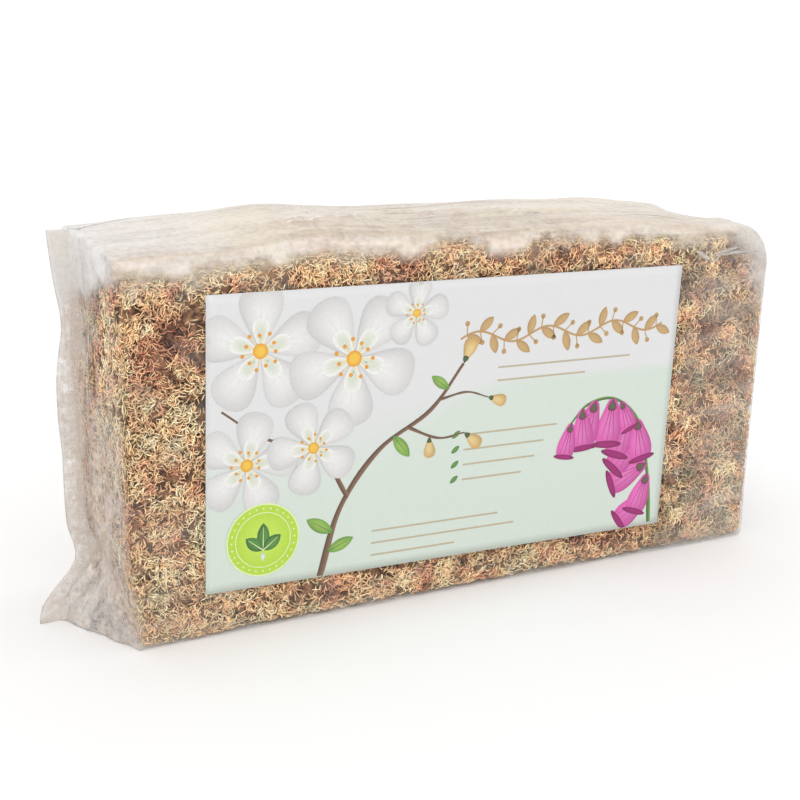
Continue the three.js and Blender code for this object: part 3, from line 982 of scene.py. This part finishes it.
def film_end_weld(material):
    """The right end's welded edge, folded flat on to the end, with the ribs of the sealing bar."""
    mesh, flat = sheet("film_end_weld", (FOLD.width, FOLD.height), (2 * FOLD.ribs, 26), FOLD.thickness * 0.6)
    across, up, height = flat[:, 0], flat[:, 1], flat[:, 2] - flat[:, 2].min()
    rib = 0.12 * np.cos(across / FOLD.width * FOLD.ribs * 2 * pi)
    lifted = 0.25 * rise(np.abs(across), FOLD.width * 0.3, FOLD.width * 0.5) * (1 + np.sin(up / 13))
    x = BAG.half_length + np.minimum(0.15 + height + rib + lifted, FOLD.thickness)
    y = FOLD.y + across + 0.5 * np.sin(up / 19)
    write_coordinates(mesh, np.stack([x, y, FOLD.foot + FOLD.height / 2 + up], axis=1))
    # The third value darkens the weld a little: fine moss crumbs and painted shade.
    write_milkiness(mesh, [(0.36 + 1.2 * value, 0.1, 0.1) for value in rib])
    piece("film_end_weld", mesh, material, "film_bag")


# ---- the label ----


def label_sheet(material):
    """The paper. Its grey turns to mint below a slanting line, softly at the left."""
    mesh, flat = sheet("label_sheet", (LABEL.width, LABEL.height), (56, 31), LABEL.thickness)
    flat[:, 2] -= flat[:, 2].max()
    u, v = flat[:, 0], flat[:, 1]
    edge = 14 + 0.03 * u
    write_values(mesh, "field", fall(v, edge - 2 - 40 * fall(u, -60, 20), edge))
    write_coordinates(mesh, on_label(flat))
    piece("label_sheet", mesh, material, "printed_label")


def on_label(flat):
    """A place on the front of the bag, from a place on the flat label and a height over it."""
    u, v, height = flat.T
    c, s = cos(LABEL.turn), sin(LABEL.turn)
    wave = 0.05 * np.sin(u / 24 + 1) + 0.04 * np.sin(v / 15 + u / 40)
    front = LABEL_BOX[0].y / MM - SHIFT.y + LABEL.inset
    return np.stack([LABEL.x + u * c + v * s, front + wave - height, LABEL.z - u * s + v * c], axis=1)


class Art:
    """Flat shapes of ink on the label, in layers that lie a hair over each other."""

    def __init__(self):
        self.bm = bmesh.new()
        self.ink = self.bm.verts.layers.float_color.new("ink")
        self.height = 0.0

    def start(self, layer=0):
        self.height = layer * PRINT.layer

    def lift(self):
        """What comes next lies over what is there."""
        self.height += PRINT.layer

    def laid(self, verts, places, colours):
        for vert, (u, v), colour in zip(verts, places, colours):
            vert.co = (u, v, self.height)
            vert[self.ink] = (*colour, 1)

    def patch(self, at, turn, shape, middle, rim, segments=26, rings=3, side_shade=0.0):
        """A round patch that shape bends into a leaf, petal or bell, with a middle and a rim colour.
        side_shade darkens it towards one side."""
        made = []
        for ring in range(rings, 0, -1):
            made += bmesh.ops.create_circle(self.bm, segments=segments, radius=ring / rings)["verts"]
        loops = [made[k * segments:(k + 1) * segments] for k in range(rings)]
        for outer, inner in zip(loops, loops[1:]):
            for k in range(segments):
                after = (k + 1) % segments
                self.bm.faces.new((outer[k], outer[after], inner[after], inner[k]))
        self.bm.faces.new(loops[-1])
        c, s = cos(turn), sin(turn)
        places, colours = [], []
        for vert in made:
            x, y = shape(vert.co.x, vert.co.y)
            places.append((at[0] + x * c - y * s, at[1] + x * s + y * c))
            reach = hypot(vert.co.x, vert.co.y) ** 1.5
            shade = 1 - side_shade * (0.5 + 0.5 * vert.co.y)
            colours.append([lerp(a, b, reach) * shade for a, b in zip(middle, rim)])
        self.laid(made, places, colours)

    def stroke(self, line, width, colour, steps=24, edge=None):
        """A line of ink along a curve. line and width are functions of the share along it, and edge
        is the colour of its lower side."""
        made = bmesh.ops.create_grid(self.bm, x_segments=steps, y_segments=1, size=0.5)["verts"]
        places, colours = [], []
        for vert in made:
            share = vert.co.x + 0.5
            here, ahead, behind = (Vector(line(place)) for place in (share, share + 0.01, share - 0.01))
            side = (ahead - behind).orthogonal().normalized()
            places.append(here + side * vert.co.y * width(share))
            colours.append(edge if edge and vert.co.y < 0 else colour)
        self.laid(made, places, colours)

    def vein(self, at, angle, reach, width, colour, steps=6, loss=0.0):
        """A straight stroke from a place outwards, which may lose a share of its width on the way."""
        self.stroke(curve(at, polar(at, angle, reach)), thinning(width, loss), colour, steps)


def thinning(width, loss=0.0):
    return lambda share: width * (1 - loss * share)


def disc(radius, squash=1.0):
    return lambda x, y: (x * radius, y * radius * squash)


def petal(length, width):
    """Round at the tip and narrow at the foot, from the foot outwards."""
    return lambda x, y: (length * (1 + x) / 2, width / 2 * y * (0.55 + 0.45 * x))


def leaf(length, width):
    """Pointed at both ends, from the foot outwards."""
    return lambda x, y: (length * (1 + x) / 2, width / 2 * y * sqrt(max(0, 1 - x * x)) ** 0.7)


def bell(length, width):
    """A hanging bell: narrow at its stalk and flared at its mouth."""
    return lambda x, y: (length * (1 + x) / 2, width / 2 * y * (0.62 + 0.30 * x + 0.25 * x ** 4))


def blossom(art, at, size, turn, layer):
    """Five broad white petals, greenish at the foot, round a yellow middle with a ring of stamens."""
    art.start(layer)
    ways = [turn + k * 2 * pi / 5 for k in range(5)]
    for angle in ways:
        art.patch(at, angle, petal(size, size * 1.04), INKS.petal, INKS.petal_rim, 30, 4, 0.10)
        art.lift()
    for angle in ways:
        art.patch(at, angle, petal(size * 0.5, size * 0.40), INKS.petal_foot, INKS.petal, 18, 3)
    art.lift()
    for angle in ways:
        for bend in (-0.30, 0.0, 0.30):
            places = ((angle, 0.18), (angle + bend * 0.5, 0.5), (angle + bend, 0.82))
            vein = curve(*(polar(at, way, size * reach) for way, reach in places))
            art.stroke(vein, thinning(0.32, 0.7), INKS.vein, 8)
    art.lift()
    stamens = [(turn + k * 2 * pi / 11 + 0.2, size * (0.24 + 0.05 * (k % 2))) for k in range(11)]
    for angle, reach in stamens:
        art.vein(at, angle, reach, 0.35, INKS.bud, 3)
    art.lift()
    for angle, reach in stamens:
        art.patch(polar(at, angle, reach), angle, disc(size * 0.032), INKS.yellow, INKS.orange, 8, 1)
    art.patch(at, 0, disc(size * 0.12), INKS.yellow, INKS.orange, 18, 2)


# The layers of ink that one blossom takes.
BLOSSOM_LAYERS = 9


def twig(art, line, width, colour=INKS.bark, edge=INKS.bark_light):
    """A stem that thins to its tip, knobbly, with a lighter lower side."""
    knobbly = lambda share: width * (1.15 - 0.6 * share) * (1 + 0.12 * sin(19 * share))
    art.stroke(line, knobbly, colour, 36, edge)
    art.lift()


def badge(art, at, radius):
    """A round lime badge: a sprig of leaves over a drop of water, within a ring of beads."""
    for share, middle, rim in (
        (1.0, INKS.lime_pale, INKS.lime_pale), (0.955, INKS.lime, INKS.lime),
        (0.76, INKS.lime_pale, INKS.lime_pale), (0.735, INKS.lime_bright, INKS.lime),
    ):
        art.patch(at, 0, disc(radius * share), middle, rim, 48, 4)
        art.lift()
    beads = 28
    for k in range(beads):
        bead = polar(at, k * 2 * pi / beads, radius * 0.86)
        art.patch(bead, 0, disc(radius * 0.028), INKS.lime_pale, INKS.lime_pale, 8, 1)
    foot = (at[0], at[1] - radius * 0.28)
    for angle, length in ((90, 0.74), (142, 0.60), (38, 0.60)):
        turn = radians(angle)
        art.patch(foot, turn, leaf(radius * length, radius * 0.34), INKS.leaf, INKS.leaf_dark, 22, 2, 0.35)
        art.lift()
        art.vein(foot, turn, radius * length * 0.85, 0.45, INKS.lime_pale, loss=0.7)
    drop = (at[0], at[1] - radius * 0.60)
    art.patch(drop, pi / 2, petal(radius * 0.24, radius * 0.2), INKS.petal, INKS.mint, 14, 2)


def garland(art):
    """A gold vine across the upper right of the label, with a leaf on one side and a bud on the other
    by turns."""
    line = lambda share: (lerp(0, 97, share), 34 + 2.6 * sin(share * 6 * pi))
    art.stroke(line, thinning(0.9), INKS.gold, 90)
    art.lift()
    leaves = 17
    for k in range(leaves):
        share = (k + 0.5) / leaves
        here, ahead = line(share), line(share + 0.01)
        way = atan2(ahead[1] - here[1], ahead[0] - here[0])
        side = 1 if k % 2 else -1
        shape = leaf(9 - 2 * abs(share - 0.5), 3.9)
        art.patch(here, way + side * 0.85, shape, INKS.gold_light, INKS.gold, 18, 2, 0.2)
        stalk, stalk_length = way - side * 1.2, 4.8
        art.vein(here, stalk, stalk_length, 0.5, INKS.gold, 4)
        art.patch(polar(here, stalk, stalk_length), 0, disc(1.1), INKS.gold_light, INKS.gold, 10, 1)


def rules(art, left, top, lengths, gap, bullets):
    """Plain ruled lines, with a small leaf before each where bullets is true."""
    for k, length in enumerate(lengths):
        v = top - k * gap
        art.vein((left, v), 0, length, 0.75, INKS.rule, 24)
        if bullets:
            art.patch((left - 5.5, v - 1), 0.7, leaf(4.6, 2.1), INKS.leaf, INKS.leaf_dark, 14, 2)


# The bells of the spray: the share along its stem, their length and width, and the angle they hang at.
BELLS = [
    (0.12, 20, 17, -2.5), (0.24, 21, 18, -2.75), (0.20, 19, 16, -1.9), (0.36, 22, 19, -2.3),
    (0.48, 22, 19, -1.9), (0.42, 20, 17, -1.35), (0.62, 22, 19, -1.65), (0.74, 21, 18, -1.85),
    (0.85, 19, 16, -1.5), (0.97, 16, 13, -1.75), (0.56, 15, 12, -1.15),
]


def bell_spray(art):
    """Magenta bells that hang close together from a dark arching stem."""
    stem = curve((100, -57), (97, -34), (90, -10), (77, 2), (63, 1), (54, -8))
    twig(art, stem, 1.7, INKS.stem, INKS.leaf)
    for share, length, width, angle in BELLS:
        here = stem(share)
        art.patch(here, angle, bell(length, width), INKS.magenta_light, INKS.magenta, 28, 3, 0.30)
        art.lift()
        for bend in (-0.17, 0.0, 0.17):
            art.vein(here, angle + bend, length * 0.84, 0.5, INKS.magenta_rim, loss=0.6)
        mouth = polar(here, angle, length * 0.93)
        art.patch(mouth, angle + pi / 2, disc(width * 0.40, 0.22), INKS.magenta_rim, INKS.wine, 18, 2)
        art.lift()
        art.patch(here, angle, petal(length * 0.26, width * 0.36), INKS.leaf_dark, INKS.wine, 12, 2)


def label_print(material):
    """The label's print: blossoms on a twig, a gold garland, ruled lines, a badge and a bell spray."""
    art = Art()
    branch = curve((-58, -58), (-50, -30), (-34, -8), (-12, 6), (2, 24))
    twig(art, branch, 2.4)
    twig(art, curve((-47, -26), (-60, -6), (-82, 2), (-99, 14)), 1.6)
    twig(art, curve((-22, 0), (-8, -6), (4, -5)), 1.2)
    twig(art, curve((-8, 10), (4, 12), (14, 9)), 1.0)
    for at, turn, length in (
        ((-53, -40), 2.6, 13), ((-55, -48), 0.4, 12), ((-28, -3), -0.9, 12), ((-70, 0), -1.7, 11),
        ((-4, 14), 2.5, 10),
    ):
        art.patch(at, turn, leaf(length, length * 0.42), INKS.leaf_light, INKS.leaf, 22, 3, 0.25)
        art.lift()
        art.vein(at, turn, length * 0.8, 0.35, INKS.leaf_dark, loss=0.6)
    for at, turn, size in (((4, -5), -0.7, 10), ((2, 24), 1.2, 11), ((-12, -5), -1.5, 9), ((14, 9), -0.3, 9)):
        art.patch(at, turn, petal(size, size * 0.86), INKS.bud, INKS.bud_rim, 22, 3, 0.25)
        art.lift()
        art.patch(at, turn, petal(size * 0.3, size * 0.36), INKS.leaf_dark, INKS.bark, 12, 2)
    for at, size, turn, level in (
        ((-84, 36), 25, 0.3, 1), ((-46, 30), 27, 0.9, 2), ((-89, -8), 21, 0.1, 2), ((-62, -4), 19, 0.7, 3),
        ((-20, 46), 14, 0.2, 3),
    ):
        blossom(art, at, size, turn, level * BLOSSOM_LAYERS)
    art.start(3 * BLOSSOM_LAYERS)
    badge(art, (-82, -39), 15)
    art.start()
    garland(art)
    art.start()
    rules(art, 18, 21, (64, 42), 5.5, False)
    rules(art, 4, -6, (44, 38, 34, 28), 6.4, True)
    rules(art, -36, -42, (58, 66, 38), 5.2, False)
    bell_spray(art)
    bm = art.bm
    half_width, half_height = LABEL.width / 2, LABEL.height / 2
    outside = [
        face for face in bm.faces
        if all(abs(vert.co.x) >= half_width or abs(vert.co.y) >= half_height for vert in face.verts)
    ]
    bmesh.ops.delete(bm, geom=outside, context="FACES")
    half_width, half_height = half_width - PRINT.margin, half_height - PRINT.margin
    for vert in bm.verts:
        vert.co.x = clamp(vert.co.x, -half_width, half_width)
        vert.co.y = clamp(vert.co.y, -half_height, half_height)
    bm.normal_update()
    bmesh.ops.reverse_faces(bm, faces=[face for face in bm.faces if face.normal.z < 0])
    mesh = mesh_from("label_print", bm)
    flat = coordinates(mesh)
    flat[:, 2] += PRINT.lift
    write_coordinates(mesh, on_label(flat))
    piece("label_print", mesh, material, "printed_label")


# ---- the scene ----


def studio():
    """A pale floor, a white sky and one soft sun."""
    bpy.ops.mesh.primitive_plane_add(size=60)
    floor = bpy.context.object
    floor.name = "studio_floor"
    floor.data.materials.append(Nodes("studio_floor").finish((0.86, 0.86, 0.86, 1), 0.9))
    world = bpy.data.worlds.new("studio")
    world.use_nodes = True
    sky = world.node_tree.nodes["Background"].inputs
    sky["Color"].default_value = (1, 1, 1, 1)
    sky["Strength"].default_value = 1.0
    bpy.context.scene.world = world
    light = bpy.data.lights.new("key", "SUN")
    light.energy = 0.95
    light.angle = radians(24)
    key = bpy.data.objects.new("key", light)
    key.rotation_euler = Vector((-0.55, -0.9, 1.25)).to_track_quat("Z", "Y").to_euler()
    bpy.context.collection.objects.link(key)
    bpy.context.scene.view_settings.view_transform = "Standard"


CAMERA = SimpleNamespace(
    place=Vector((-257.7, -506.6, 250.2)) * MM, aim=Vector((-22.8, -38.2, 86.9)) * MM, lens=63.2, roll=1.314
)


def camera():
    data = bpy.data.cameras.new("camera")
    data.lens = CAMERA.lens
    data.sensor_width = 36
    seen = bpy.data.objects.new("camera", data)
    turned = (CAMERA.aim - CAMERA.place).to_track_quat("-Z", "Y").to_matrix().to_4x4()
    roll = Matrix.Rotation(radians(CAMERA.roll), 4, "Z")
    seen.matrix_world = Matrix.Translation(CAMERA.place) @ turned @ roll
    bpy.context.collection.objects.link(seen)
    bpy.context.scene.camera = seen


camera()
studio()
moss()
clear_film = film_finish()
skin = film_bag(clear_film)
film_creases(skin, clear_film)
film_end_weld(clear_film)
label_sheet(paper_finish())
label_print(ink_finish())
